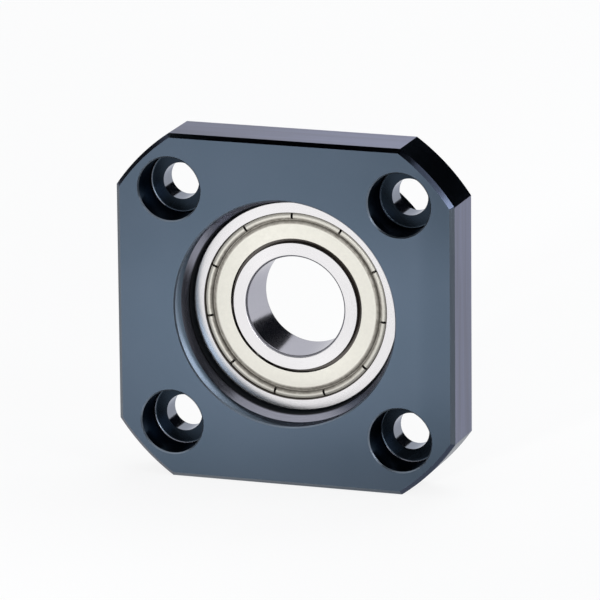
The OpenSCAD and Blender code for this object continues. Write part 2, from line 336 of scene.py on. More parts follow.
class BearingSection:
    """Radii and places that the rings and shields share, from the bearing's middle plane."""

    def __init__(self, rings, shield):
        ball = rings.ball_diameter / 2
        self.pitch = (rings.bore + rings.outside) / 4
        self.inner_race = self.pitch - ball - rings.ball_clearance
        self.outer_race = self.pitch + ball + rings.ball_clearance
        self.inner_shoulder = self.inner_race + rings.shoulder_height
        self.outer_shoulder = self.outer_race - rings.shoulder_height
        self.inner_land = self.inner_shoulder - rings.land_step
        self.shield_seat = self.outer_shoulder + rings.seat_step
        self.face = rings.width / 2
        self.foot = self.face - rings.seat_depth
        self.step = self.foot + shield.sheet
        self.flat = self.face - shield.sink - shield.sheet / 2
        self.channel_y = self.flat - shield.channel_radius
        self.rim_y = self.channel_y + shield.rim_rise
        self.leg = self.shield_seat - shield.clearance - shield.sheet / 2
        self.rim = self.leg - shield.rim_radius
        self.channel = self.rim - shield.rim_radius - shield.channel_radius
        self.opening = self.inner_land + shield.gap


def groove_half(race, groove_radius, shoulder, sign):
    """Half a raceway groove, from its bottom up to the shoulder."""
    centre = (race - sign * groove_radius, 0)
    reach = math.degrees(math.acos(abs(shoulder - centre[0]) / groove_radius))
    if sign > 0:
        return arc(centre, groove_radius, 0, reach, GROOVE_STEP)
    return arc(centre, groove_radius, 180, 180 - reach, GROOVE_STEP)


def outer_ring_profile(rings, at):
    """Section of the outer ring."""
    radius = rings.outside / 2
    corner = rings.corner_radius
    edge = rings.edge_break
    snap = at.shield_seat + rings.snap_depth
    half = groove_half(at.outer_race, rings.groove_radius, at.outer_shoulder, 1)
    half += [(at.outer_shoulder, at.foot), (snap, at.foot), (snap, at.foot + rings.snap_width),
             (at.shield_seat, at.foot + rings.snap_width), (at.shield_seat, at.face - edge),
             (at.shield_seat + edge, at.face)]
    half += arc((radius - corner, at.face - corner), corner, 90, 0)
    return mirrored(half)


def inner_ring_profile(rings, at):
    """Section of the inner ring."""
    radius = rings.bore / 2
    corner = rings.corner_radius
    edge = rings.edge_break
    half = groove_half(at.inner_race, rings.groove_radius, at.inner_shoulder, -1)
    half += [(at.inner_shoulder, at.step), (at.inner_land, at.step),
             (at.inner_land, at.face - edge), (at.inner_land - edge, at.face)]
    half += arc((radius + corner, at.face - corner), corner, 90, 180)
    return mirrored(half)


def shield_profile(shield, at):
    """Section of the shield on the +Y side: flat, channel, rolled rim and foot."""
    bend = shield.channel_radius
    foot_bend = shield.foot_bend
    foot_y = at.foot + shield.clearance + shield.sheet / 2
    path = [(at.opening, at.flat)]
    path += arc((at.channel - 2 * bend, at.channel_y), bend, 90, 0)
    path += arc((at.channel, at.channel_y), bend, 180, 360)
    path += arc((at.rim, at.rim_y), shield.rim_radius, 180, 0)
    path += arc((at.leg + foot_bend, foot_y + foot_bend), foot_bend, 180, 270)
    path += [(at.leg + shield.sheet / 2 + shield.foot_reach, foot_y)]
    return sheet_outline(without_repeats(path), shield.sheet)


def rivet_profile(cage):
    """Half section of a rivet about its own axis: shank and two domed heads."""
    head = cage.head_diameter / 2
    height = cage.head_height
    dome = (head * head + height * height) / (2 * height)
    reach = math.degrees(math.asin(head / dome))
    upper = arc((0, cage.sheet + height - dome), dome, 90, 90 - reach)
    upper[0] = (0, cage.sheet + height)
    upper.append((cage.shank_diameter / 2, cage.sheet))
    return [(r, -y) for r, y in upper] + upper[::-1]


def fixing_hole_profile(size, holes):
    """Half section of the cutter for one counterbored hole, about its own axis."""
    front = -size.flange_thickness
    head = holes.head_diameter / 2
    mouth = size.mouth_chamfer
    floor = front + holes.head_depth
    hole = holes.diameter / 2
    fillet = holes.floor_fillet
    points = [(0, front - PAST), (head + mouth + PAST, front - PAST), (head + mouth, front),
              (head, front + mouth)]
    points += arc((head - fillet, floor - fillet), fillet, 0, 90, FILLET_STEP)
    return points + [(hole, floor), (hole, PAST), (0, PAST)]


# ---------------------------------------------------------------- meshes

def add_object(name, mesh):
    """Links a new object for a mesh, at the origin."""
    thing = bpy.data.objects.new(name, mesh)
    bpy.context.scene.collection.objects.link(thing)
    return thing


def profile_object(name, points, closed=True):
    """A profile as a loop of edges, radius along X and place along Y."""
    if area(points) < 0:
        points = points[::-1]
    count = len(points)
    edges = [(i, i + 1) for i in range(count - 1)]
    if closed:
        edges.append((count - 1, 0))
    mesh = bpy.data.meshes.new(name)
    mesh.from_pydata([(r, y, 0) for r, y in points], edges, [])
    return add_object(name, mesh)


def turned_solid(name, points, segments):
    """A closed solid turned about Y from a half section that starts and ends on the axis."""
    if area(points) < 0:
        points = points[::-1]
    solid = bmesh.new()
    rings = []
    for radius, place in points:
        if radius == 0:
            rings.append([solid.verts.new((0, place, 0))])
            continue
        turns = [2 * math.pi * i / segments for i in range(segments)]
        rings.append([solid.verts.new((radius * math.cos(t), place, radius * math.sin(t)))
                      for t in turns])
    for lower, upper in zip(rings, rings[1:]):
        for i in range(segments):
            j = (i + 1) % segments
            corners = [lower[i % len(lower)], lower[j % len(lower)],
                       upper[j % len(upper)], upper[i % len(upper)]]
            solid.faces.new(list(dict.fromkeys(corners)))
    bmesh.ops.recalc_face_normals(solid, faces=solid.faces)
    mesh = bpy.data.meshes.new(name)
    solid.to_mesh(mesh)
    solid.free()
    return add_object(name, mesh)


def square_column(size):
    """The milled square as a column with chamfered edges, long enough to clear the boss."""
    half = size.flange_side / 2
    front = -size.flange_thickness
    levels = [(front - PAST, half - size.front_chamfer - PAST),
              (front, half - size.front_chamfer), (front + size.front_chamfer, half),
              (-size.back_chamfer, half), (0, half - size.back_chamfer),
              (size.boss_length + PAST, half - size.back_chamfer)]
    column = bmesh.new()
    rings = [[column.verts.new((x * side, place, z * side))
              for x, z in ((-1, -1), (1, -1), (1, 1), (-1, 1))] for place, side in levels]
    for lower, upper in zip(rings, rings[1:]):
        for i in range(4):
            j = (i + 1) % 4
            column.faces.new((lower[i], lower[j], upper[j], upper[i]))
    column.faces.new(rings[0][::-1])
    column.faces.new(rings[-1])
    bmesh.ops.recalc_face_normals(column, faces=column.faces)
    mesh = bpy.data.meshes.new("square_column")
    column.to_mesh(mesh)
    column.free()
    return add_object("square_column", mesh)


def finished_piece(name, source):
    """A plain mesh object from a source object and its modifiers, which are used up."""
    bpy.context.view_layer.update()
    graph = bpy.context.evaluated_depsgraph_get()
    mesh = bpy.data.meshes.new_from_object(source.evaluated_get(graph))
    bpy.data.objects.remove(source)
    solid = bmesh.new()
    solid.from_mesh(mesh)
    bmesh.ops.remove_doubles(solid, verts=solid.verts, dist=WELD)
    bmesh.ops.dissolve_degenerate(solid, edges=solid.edges, dist=WELD)
    bmesh.ops.recalc_face_normals(solid, faces=solid.faces)
    solid.to_mesh(mesh)
    solid.free()
    if not mesh.polygons:
        raise RuntimeError(f"{name} came out empty")
    mesh.name = name
    mesh.shade_smooth()
    mesh.set_sharp_from_angle(angle=math.radians(SMOOTH_UNDER))
    return add_object(name, mesh)


def shift(thing, place):
    """Moves an object's mesh along the bore axis."""
    thing.data.transform(Matrix.Translation((0, place, 0)))


def flip_along_axis(thing):
    """Mirrors an object's mesh in the plane across the bore axis at the origin."""
    thing.data.transform(Matrix.Diagonal((1, -1, 1, 1)))
    thing.data.flip_normals()


def finish_faces(thing, finishes, choose):
    """Gives each face the finish that choose names, from its centre and its normal."""
    thing.data.materials.clear()
    order = list(finishes)
    for name in order:
        thing.data.materials.append(finishes[name])
    for face in thing.data.polygons:
        face.material_index = order.index(choose(face.center, face.normal))


def hand_over(piece, body, slot, *nodes):
    """Puts a piece on the body that it rides on, and hides the nodes that it stands for. The slot
    is not used.
    """
    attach(piece, body)
    if nodes:
        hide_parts(*nodes)


# ---------------------------------------------------------------- node trees

class Tree:
    """A geometry node tree with named inputs, ending in Realize Instances and Set Material."""

    def __init__(self, name, inputs):
        self.group = bpy.data.node_groups.new(name, "GeometryNodeTree")
        face = self.group.interface
        face.new_socket("Geometry", in_out="INPUT", socket_type="NodeSocketGeometry")
        for label, kind in inputs.items():
            face.new_socket(label, in_out="INPUT", socket_type="NodeSocket" + kind)
        face.new_socket("Geometry", in_out="OUTPUT", socket_type="NodeSocketGeometry")
        self.inputs = self.group.nodes.new("NodeGroupInput").outputs
        self.result = self.group.nodes.new("NodeGroupOutput").inputs["Geometry"]

    def node(self, kind, **settings):
        """Adds a node. Settings named with a capital go to its sockets, the rest to itself."""
        node = self.group.nodes.new(kind)
        for label, value in settings.items():
            if not label[0].isupper():
                setattr(node, label, value)
        for label, value in settings.items():
            if label[0].isupper():
                self.feed(node.inputs[label.replace("_", " ")], value)
        return node

    def feed(self, socket, value):
        """Links a socket to another, or sets its value."""
        if isinstance(value, bpy.types.NodeSocket):
            self.group.links.new(value, socket)
        else:
            socket.default_value = value

    def sum(self, operation, first, second):
        """A Math node on two values."""
        node = self.node("ShaderNodeMath", operation=operation)
        self.feed(node.inputs[0], first)
        self.feed(node.inputs[1], second)
        return node.outputs[0]

    def finish(self, geometry):
        """Ends the tree."""
        real = self.node("GeometryNodeRealizeInstances", Geometry=geometry)
        last = self.node("GeometryNodeSetMaterial", Geometry=real.outputs[0],
                         Material=self.inputs["Finish"])
        self.group.links.new(last.outputs[0], self.result)
        return self.group


def turned_nodes(tree, profile):
    """Sweeps a profile round the bore axis. Returns the mesh's socket."""
    path_radius = 1 * MM
    line = tree.node("GeometryNodeMeshToCurve", Mesh=profile)
    centred = tree.node("GeometryNodeTransform", Geometry=line.outputs[0],
                        Translation=(-path_radius, 0, 0))
    path = tree.node("GeometryNodeCurvePrimitiveCircle", Resolution=tree.inputs["Segments"],
                     Radius=path_radius)
    swept = tree.node("GeometryNodeCurveToMesh", Curve=path.outputs["Curve"],
                      Profile_Curve=centred.outputs[0])
    upright = tree.node("GeometryNodeTransform", Geometry=swept.outputs[0],
                        Rotation=(math.pi / 2, 0, 0))
    return upright.outputs[0]


def around_nodes(tree, item, count, start):
    """Repeats a geometry at even steps round the bore axis, +X turning towards +Z."""
    points = tree.node("GeometryNodePoints", Count=count)
    index = tree.node("GeometryNodeInputIndex").outputs[0]
    step = tree.sum("DIVIDE", 2 * math.pi, count)
    turn = tree.sum("ADD", tree.sum("MULTIPLY", index, step), start)
    euler = tree.node("ShaderNodeCombineXYZ", Y=tree.sum("MULTIPLY", turn, -1.0))
    rotation = tree.node("FunctionNodeEulerToRotation", Euler=euler.outputs[0])
    copies = tree.node("GeometryNodeInstanceOnPoints", Points=points.outputs[0], Instance=item,
                       Rotation=rotation.outputs[0])
    return tree.node("GeometryNodeRealizeInstances", Geometry=copies.outputs[0]).outputs[0]


def cut(tree, operation, mesh, tool):
    """A Mesh Boolean node. Returns the mesh's socket."""
    node = tree.node("GeometryNodeMeshBoolean", operation=operation, solver="MANIFOLD")
    if operation == "DIFFERENCE":
        tree.feed(node.inputs["Mesh 1"], mesh)
    else:
        tree.feed(node.inputs["Mesh 2"], mesh)
    tree.feed(node.inputs["Mesh 2"], tool)
    return node.outputs[0]


def turned_part_tree():
    """A ring turned from its section."""
    tree = Tree("Turned Part", {"Segments": "Int", "Finish": "Material"})
    return tree.finish(turned_nodes(tree, tree.inputs["Geometry"]))


def milled_flange_tree():
    """The housing: turned, milled square, then drilled round its hole circle."""
    tree = Tree("Milled Flange", {
        "Segments": "Int", "Square": "Object", "Hole Cutter": "Object", "Hole Count": "Int",
        "Hole Circle Radius": "Float", "First Hole Angle": "Float", "Finish": "Material"})
    turned = turned_nodes(tree, tree.inputs["Geometry"])
    square = tree.node("GeometryNodeObjectInfo", Object=tree.inputs["Square"])
    milled = cut(tree, "INTERSECT", turned, square.outputs["Geometry"])
    cutter = tree.node("GeometryNodeObjectInfo", Object=tree.inputs["Hole Cutter"])
    place = tree.node("ShaderNodeCombineXYZ", X=tree.inputs["Hole Circle Radius"])
    placed = tree.node("GeometryNodeTransform", Geometry=cutter.outputs["Geometry"],
                       Translation=place.outputs[0])
    holes = around_nodes(tree, placed.outputs[0], tree.inputs["Hole Count"],
                         tree.inputs["First Hole Angle"])
    return tree.finish(cut(tree, "DIFFERENCE", milled, holes))


def slit_shield_tree():
    """A shield turned from its section, its rolled rim cut by radial slits."""
    tree = Tree("Slit Shield", {
        "Segments": "Int", "Slit Count": "Int", "First Slit Angle": "Float",
        "Slit Size": "Vector", "Slit Place": "Vector", "Finish": "Material"})
    turned = turned_nodes(tree, tree.inputs["Geometry"])
    cube = tree.node("GeometryNodeMeshCube", Size=tree.inputs["Slit Size"])
    placed = tree.node("GeometryNodeTransform", Geometry=cube.outputs["Mesh"],
                       Translation=tree.inputs["Slit Place"])
    slits = around_nodes(tree, placed.outputs[0], tree.inputs["Slit Count"],
                         tree.inputs["First Slit Angle"])
    return tree.finish(cut(tree, "DIFFERENCE", turned, slits))


def rivet_circle_tree():
    """Rivets turned from one section and set round the cage."""
    tree = Tree("Rivet Circle", {
        "Segments": "Int", "Rivet Count": "Int", "Circle Radius": "Float",
        "First Rivet Angle": "Float", "Finish": "Material"})
    turned = turned_nodes(tree, tree.inputs["Geometry"])
    place = tree.node("ShaderNodeCombineXYZ", X=tree.inputs["Circle Radius"])
    placed = tree.node("GeometryNodeTransform", Geometry=turned,
                       Translation=place.outputs[0])
    return tree.finish(around_nodes(tree, placed.outputs[0], tree.inputs["Rivet Count"],
                                    tree.inputs["First Rivet Angle"]))


def run_tree(thing, tree, **values):
    """Puts a node tree on an object and sets its inputs by their identifiers."""
    modifier = thing.modifiers.new(tree.name, "NODES")
    modifier.node_group = tree
    wanted = {label.replace("_", " "): value for label, value in values.items()}
    for socket in tree.interface.items_tree:
        if socket.in_out == "INPUT" and socket.name in wanted:
            modifier[socket.identifier] = wanted.pop(socket.name)
    if wanted:
        raise RuntimeError(f"{tree.name} has no input named {sorted(wanted)}")


# ---------------------------------------------------------------- materials

MIX_FIRST, MIX_SECOND, MIX_RESULT = 6, 7, 2    # a Mix node's sockets for colours


class Finish:
    """A node material round one Principled shader."""

    def __init__(self, name, base, metallic, roughness, **fixed):
        self.material = bpy.data.materials.new(name)
        self.material.use_nodes = True
        self.nodes = self.material.node_tree.nodes
        self.shader = self.nodes["Principled BSDF"]
        self.set("Base Color", (*base, 1))
        self.set("Metallic", metallic)
        self.set("Roughness", roughness)
        for label, value in fixed.items():
            self.set(label.replace("_", " "), value)

    def set(self, label, value):
        """Sets a constant on the shader's own socket."""
        self.shader.inputs[label].default_value = value

    def add(self, kind, **settings):
        """Adds a node. Settings named with a capital go to its sockets, the rest to itself."""
        node = self.nodes.new(kind)
        for label, value in settings.items():
            if not label[0].isupper():
                setattr(node, label, value)
                continue
            socket = node.inputs[label.replace("_", " ")]
            if isinstance(value, bpy.types.NodeSocket):
                self.link(value, socket)
            else:
                socket.default_value = value
        return node

    def link(self, start, end):
        """Links two sockets."""
        self.material.node_tree.links.new(start, end)

    def sum(self, operation, first, second=0.0, clamp=False):
        """A Math node."""
        node = self.nodes.new("ShaderNodeMath")
        node.operation = operation
        node.use_clamp = clamp
        for socket, value in zip(node.inputs, (first, second)):
            if isinstance(value, bpy.types.NodeSocket):
                self.link(value, socket)
            else:
                socket.default_value = value
        return node.outputs[0]

    def place(self):
        """The point's place on the part."""
        return self.add("ShaderNodeTexCoord").outputs["Object"]

    def polar(self):
        """The point's radius from the bore axis, its place along it and its angle round it."""
        split = self.add("ShaderNodeSeparateXYZ", Vector=self.place())
        x, y, z = split.outputs
        radius = self.sum("SQRT", self.sum("ADD", self.sum("MULTIPLY", x, x),
                                           self.sum("MULTIPLY", z, z)))
        return radius, y, self.sum("ARCTAN2", z, x)

    def noise(self, vector, scale, detail=2.0, roughness=0.5, distortion=0.0):
        """Noise from 0 to 1 at a vector, with so many cells to a unit of it."""
        node = self.add("ShaderNodeTexNoise", Vector=vector, Scale=scale, Detail=detail,
                        Roughness=roughness, Distortion=distortion)
        return node.outputs["Fac"]

    def stretched(self, vector, scales):
        """A vector scaled along each axis."""
        node = self.add("ShaderNodeMapping", Vector=vector, Scale=scales)
        return node.outputs[0]

    def lathe_lines(self, radial, along):
        """Noise in thin rings about the bore axis: so many to a metre of radius and of length."""
        round_about = 3.0
        radius, place, turn = self.polar()
        sine = self.sum("SINE", turn)
        cosine = self.sum("COSINE", turn)
        first = self.sum("ADD", self.sum("MULTIPLY", radius, radial),
                         self.sum("MULTIPLY", place, along))
        vector = self.add("ShaderNodeCombineXYZ", X=first,
                          Y=self.sum("MULTIPLY", sine, round_about),
                          Z=self.sum("MULTIPLY", cosine, round_about))
        return self.noise(vector.outputs[0], 1.0, detail=3.0, roughness=0.6)

    def vary(self, socket, value, low, high):
        """Drives one of the shader's numbers between low and high with a value from 0 to 1."""
        node = self.add("ShaderNodeMapRange", Value=value, To_Min=low, To_Max=high)
        self.link(node.outputs[0], self.shader.inputs[socket])

    def tint(self, value, first, second, socket=None):
        """Mixes two colours with a value from 0 to 1. Returns the colour's socket."""
        node = self.add("ShaderNodeMix", data_type="RGBA", clamp_factor=True)
        self.link(value, node.inputs[0])
        for place, shade in ((MIX_FIRST, first), (MIX_SECOND, second)):
            if isinstance(shade, bpy.types.NodeSocket):
                self.link(shade, node.inputs[place])
            else:
                node.inputs[place].default_value = (*shade, 1)
        if socket:
            self.link(node.outputs[MIX_RESULT], self.shader.inputs[socket])
        return node.outputs[MIX_RESULT]

    def multiplied(self, share, first, second):
        """A colour's socket multiplied by another, the second in so small a share."""
        node = self.add("ShaderNodeMix", data_type="RGBA", blend_type="MULTIPLY")
        node.inputs[0].default_value = share
        self.link(first, node.inputs[MIX_FIRST])
        self.link(second, node.inputs[MIX_SECOND])
        return node.outputs[MIX_RESULT]

    def bump(self, height, depth, strength):
        """Bump from a height from 0 to 1 that stands for depth metres."""
        node = self.add("ShaderNodeBump", Height=height, Distance=depth, Strength=strength)
        self.link(node.outputs[0], self.shader.inputs["Normal"])

    def spun_gloss(self, amount):
        """Stretches reflections across lines that run round the bore axis."""
        self.set("Anisotropic", amount)
        turn = self.polar()[2]
        sine = self.sum("MULTIPLY", self.sum("SINE", turn), -1.0)
        vector = self.add("ShaderNodeCombineXYZ", X=sine, Z=self.sum("COSINE", turn))
        self.link(vector.outputs[0], self.shader.inputs["Tangent"])


def scaled(shade, factor):
    """A colour made lighter or darker."""
    return tuple(min(1.0, part * factor) for part in shade)


def ground_oxide(colours):
    """Black oxide on a ground face: a fine even grain with faint cloudy patches."""
    base = colours.ground_oxide
    finish = Finish("housing_ground_oxide", base, metallic=0.35, roughness=0.42,
                    Specular_IOR_Level=0.2)
    cloud = finish.noise(finish.place(), scale=90.0, detail=4.0)
    grain = finish.noise(finish.stretched(finish.place(), (9000, 9000, 1600)), 1.0, detail=2.0)
    warm = (base[0] * 1.16, base[1] * 1.06, base[2] * 1.06)
    clouded = finish.tint(cloud, scaled(base, 0.92), warm)
    grey = finish.tint(grain, (0.45, 0.45, 0.45), (1.0, 1.0, 1.0))
    finish.link(finish.multiplied(0.22, clouded, grey), finish.shader.inputs["Base Color"])
    finish.vary("Roughness", cloud, low=0.38, high=0.48)
    finish.bump(grain, depth=3e-6, strength=0.5)
    return finish.material


def milled_oxide(colours):
    """Black oxide on a milled flat: streaks along the cut."""
    base = colours.milled_oxide
    finish = Finish("housing_milled_oxide", base, metallic=1.0, roughness=0.46)
    streaks = finish.noise(finish.stretched(finish.place(), (45, 2600, 45)), 1.0, detail=4.0,
                           roughness=0.65)
    broad = finish.noise(finish.stretched(finish.place(), (30, 500, 30)), 1.0, detail=2.0)
    mixed = finish.sum("ADD", finish.sum("MULTIPLY", streaks, 0.6),
                       finish.sum("MULTIPLY", broad, 0.4))
    sharp = finish.add("ShaderNodeMapRange", Value=mixed, From_Min=0.36, From_Max=0.64)
    finish.tint(sharp.outputs[0], scaled(base, 0.74), scaled(base, 1.2), "Base Color")
    finish.vary("Roughness", streaks, low=0.38, high=0.54)
    finish.bump(streaks, depth=5e-6, strength=0.6)
    return finish.material


def chamfer_oxide(name, base):
    """Black oxide on a chamfer: smoother than the ground face."""
    finish = Finish(name, base, metallic=1.0, roughness=0.18)
    streaks = finish.noise(finish.stretched(finish.place(), (300, 5000, 300)), 1.0, detail=3.0)
    finish.tint(streaks, scaled(base, 0.85), scaled(base, 1.15), "Base Color")
    finish.vary("Roughness", streaks, low=0.15, high=0.23)
    return finish.material


TURNED_LINES = (14000, 9000)    # lines to a metre of radius, and to a metre of length
DRILLED_LINES = (900, 9000)
MILLED_LINES = (700, 700)


def cut_oxide(name, base, lines_per_metre, roughness, metallic=1.0, shade_painted_inside=None):
    """Oxide on a cut surface, with fine lines round the bore and a dark rim within a radius, the
    rim being painted shade.
    """
    half_fade = 0.08 * MM
    finish = Finish(name, base, metallic, roughness, Specular_Tint=(0.7, 0.73, 0.8, 1))
    lines = finish.lathe_lines(*lines_per_metre)
    shade = finish.tint(lines, scaled(base, 0.8), scaled(base, 1.2))
    # Painted shade: within the radius the colour fades to 0.06 of the base, darkening the cone
    # next to the bearing's gap.
    if shade_painted_inside:
        clear = finish.add("ShaderNodeMapRange", Value=finish.polar()[0],
                           From_Min=shade_painted_inside - half_fade, From_Max=shade_painted_inside + half_fade)
        shade = finish.tint(clear.outputs[0], scaled(base, 0.06), shade)
    finish.link(shade, finish.shader.inputs["Base Color"])
    finish.vary("Roughness", lines, roughness * 0.75, roughness * 1.35)
    finish.bump(lines, depth=1.5e-6, strength=0.5)
    return finish.material


def turned_oxide(colours):
    """Black oxide on a turned face: dark and glossy, with fine lathe lines."""
    base = colours.turned_oxide
    finish = Finish("housing_turned_oxide", base, metallic=1.0, roughness=0.2,
                    Specular_Tint=(0.50, 0.54, 0.60, 1))
    lines = finish.lathe_lines(*TURNED_LINES)
    finish.tint(lines, scaled(base, 0.75), scaled(base, 1.35), "Base Color")
    finish.vary("Roughness", lines, low=0.14, high=0.26)
    finish.bump(lines, depth=1.5e-6, strength=0.5)
    return finish.material


def seat_painted_shade(colours):
    """Matt black oxide deep in the bearing's seat, darkened to a fifth of the turned oxide as
    painted shade in the gap round the bearing.
    """
    base = scaled(colours.turned_oxide, 0.2)
    finish = Finish("housing_seat", base, metallic=0.0, roughness=0.8, Specular_IOR_Level=0.05)
    lines = finish.lathe_lines(radial=0, along=9000)
    finish.tint(lines, scaled(base, 0.6), scaled(base, 1.6), "Base Color")
    finish.vary("Roughness", lines, low=0.7, high=0.9)
    return finish.material


def worn_oxide(name, base, worn_outside):
    """Oxide worn thin and bright along an edge, but near black within a radius."""
    finish = Finish(name, base, metallic=1.0, roughness=0.3)
    patches = finish.noise(finish.place(), scale=420.0, detail=4.0, roughness=0.7)
    shade = finish.tint(patches, scaled(base, 0.55), scaled(base, 1.35))
    open_to_touch = finish.sum("GREATER_THAN", finish.polar()[0], worn_outside)
    finish.tint(open_to_touch, scaled(base, 0.05), shade, "Base Color")
    finish.vary("Roughness", patches, low=0.24, high=0.4)
    return finish.material


def ring_face_steel(colours):
    """A ground side face of a ring: fine lines round the axis."""
    base = colours.ring_steel
    finish = Finish("ring_ground_face", base, metallic=1.0, roughness=0.24)
    lines = finish.lathe_lines(radial=26000, along=0)
    finish.tint(lines, scaled(base, 0.9), scaled(base, 1.06), "Base Color")
    finish.vary("Roughness", lines, low=0.2, high=0.3)
    finish.bump(lines, depth=1e-6, strength=0.4)
    finish.spun_gloss(0.6)
    return finish.material


def ring_bore_steel(colours):
    """A ground bore or outside of a ring: nearly a mirror, with faint lines round it."""
    base = colours.bore_steel
    finish = Finish("ring_ground_bore", base, metallic=1.0, roughness=0.14,
                    Specular_Tint=(0.72, 0.72, 0.76, 1))
    lines = finish.lathe_lines(radial=0, along=16000)
    finish.tint(lines, scaled(base, 0.93), scaled(base, 1.05), "Base Color")
    finish.vary("Roughness", lines, low=0.11, high=0.18)
    return finish.material


def ring_land_steel(name, base):
    """Unground steel of a ring, satin, with a film of grease."""
    finish = Finish(name, base, metallic=1.0, roughness=0.38, Specular_Tint=(0.5, 0.48, 0.45, 1))
    lines = finish.lathe_lines(radial=0, along=9000)
    finish.tint(lines, scaled(base, 0.8), scaled(base, 1.2), "Base Color")
    finish.vary("Roughness", lines, low=0.32, high=0.46)
    return finish.material


def raceway_steel(colours):
    """A honed raceway, with a thin film of grease."""
    base = scaled(colours.ring_steel, 0.9)
    finish = Finish("ring_raceway", base, metallic=1.0, roughness=0.12, Coat_Weight=0.3,
                    Coat_Roughness=0.15)
    lines = finish.lathe_lines(radial=0, along=9000)
    finish.tint(lines, scaled(base, 0.85), base, "Base Color")
    finish.vary("Roughness", lines, low=0.08, high=0.2)
    return finish.material


def slit_painted_shade(colours):
    """The sheared edges and the inside of the rolled rim, darkened as painted shade."""
    base = scaled(colours.shield_painted_shade, 0.45)
    finish = Finish("shield_slit_wall", base, metallic=0.6, roughness=0.6)
    smear = finish.noise(finish.place(), scale=2500.0, detail=2.0)
    finish.tint(smear, scaled(base, 0.6), scaled(base, 1.5), "Base Color")
    finish.vary("Roughness", smear, low=0.5, high=0.7)
    return finish.material


def shield_finish(colours, section):
    """Plated sheet, cream and satin, with painted shade in the channel and some on the rim, where
    the sheet is also less metallic and rougher.
    """
    base = colours.shield_steel
    finish = Finish("shield_plated", base, metallic=1.0, roughness=0.3)
    radius = finish.polar()[0]
    inner_edge = section.channel - 0.5 * MM
    outer_edge = section.channel + 0.34 * MM
    fade = 0.22 * MM
    shade_on_rim = 0.55
    rise = finish.add("ShaderNodeMapRange", Value=radius, From_Min=inner_edge - fade,
                      From_Max=inner_edge, To_Min=0.0, To_Max=1.0).outputs[0]
    fall = finish.add("ShaderNodeMapRange", Value=radius, From_Min=outer_edge,
                      From_Max=outer_edge + fade, To_Min=1.0,
                      To_Max=shade_on_rim).outputs[0]
    # Painted shade: full over the channel and 0.55 over the rolled rim, it darkens the sheet
    # towards the shade colour.
    film = finish.sum("MULTIPLY", rise, fall)
    mottle = finish.noise(finish.place(), scale=1500.0, detail=4.0, roughness=0.6)
    clean = finish.tint(mottle, scaled(base, 0.9), scaled(base, 1.08))
    uneven = finish.sum("ADD", finish.sum("MULTIPLY", mottle, 0.5), 0.6)
    shade_and_dullness = finish.sum("MULTIPLY", film, uneven, clamp=True)
    finish.tint(shade_and_dullness, clean, tuple(colours.shield_painted_shade), "Base Color")
    finish.vary("Metallic", shade_and_dullness, low=1.0, high=0.6)
    finish.vary("Roughness", finish.sum("ADD", mottle, shade_and_dullness), 0.24, 0.42)
    lines = finish.lathe_lines(radial=9000, along=0)
    finish.bump(lines, depth=2e-6, strength=0.4)
    finish.spun_gloss(0.4)
    return finish.material


def cage_finish(colours):
    """Pressed sheet with a grey bloom."""
    base = colours.cage_steel
    finish = Finish("cage_pressed_sheet", base, metallic=1.0, roughness=0.36)
    mottle = finish.noise(finish.place(), scale=1100.0, detail=4.0)
    finish.tint(mottle, scaled(base, 0.75), scaled(base, 1.15), "Base Color")
    finish.vary("Roughness", mottle, low=0.28, high=0.46)
    finish.bump(mottle, depth=4e-6, strength=0.4)
    return finish.material


def ball_finish(colours):
    """A polished ball with a clean running track, and dark grease on its two sides that also
    stands as painted shade in the gap by the shields.
    """
    base = colours.ball_steel
    track_edge, grease_edge = 1.6 * MM, 1.9 * MM
    finish = Finish("ball_polished", base, metallic=1.0, roughness=0.05)
    smear = finish.noise(finish.place(), scale=700.0, detail=3.0, distortion=0.6)
    polished = finish.tint(smear, scaled(base, 0.92), scaled(base, 1.04))
    from_middle = finish.sum("SUBTRACT", finish.polar()[1], bearing_middle())
    ragged = finish.sum("ADD", finish.sum("ABSOLUTE", from_middle),
                        finish.sum("MULTIPLY", smear, 0.5 * MM))
    # Grease and painted shade: the sides go near black, so that no lamp's glint shows through the
    # gap by the shields.
    grease = finish.add("ShaderNodeMapRange", Value=ragged, From_Min=track_edge,
                        From_Max=grease_edge).outputs[0]
    finish.tint(grease, polished, tuple(colours.grease), "Base Color")
    finish.vary("Roughness", grease, low=0.06, high=0.4)
    return finish.material


AMBIENT_COLOUR = (0.92, 0.95, 1.0)
AMBIENT_STRENGTH = 0.55
FLOOR_GLOW = 0.84    # share of plain white in the floor that is seen, the rest keeps a shadow


def seen_white(nodes, links):
    """A white emission that only the camera, gloss and glass see, and the factor for it."""
    path = nodes.new("ShaderNodeLightPath")
    glow = nodes.new("ShaderNodeEmission")
    glow.inputs["Color"].default_value = (1, 1, 1, 1)
    either = path.outputs["Is Camera Ray"]
    for label in ("Is Glossy Ray", "Is Transmission Ray"):
        node = nodes.new("ShaderNodeMath")
        node.operation = "MAXIMUM"
        links.new(either, node.inputs[0])
        links.new(path.outputs[label], node.inputs[1])
        either = node.outputs[0]
    return glow.outputs[0], either


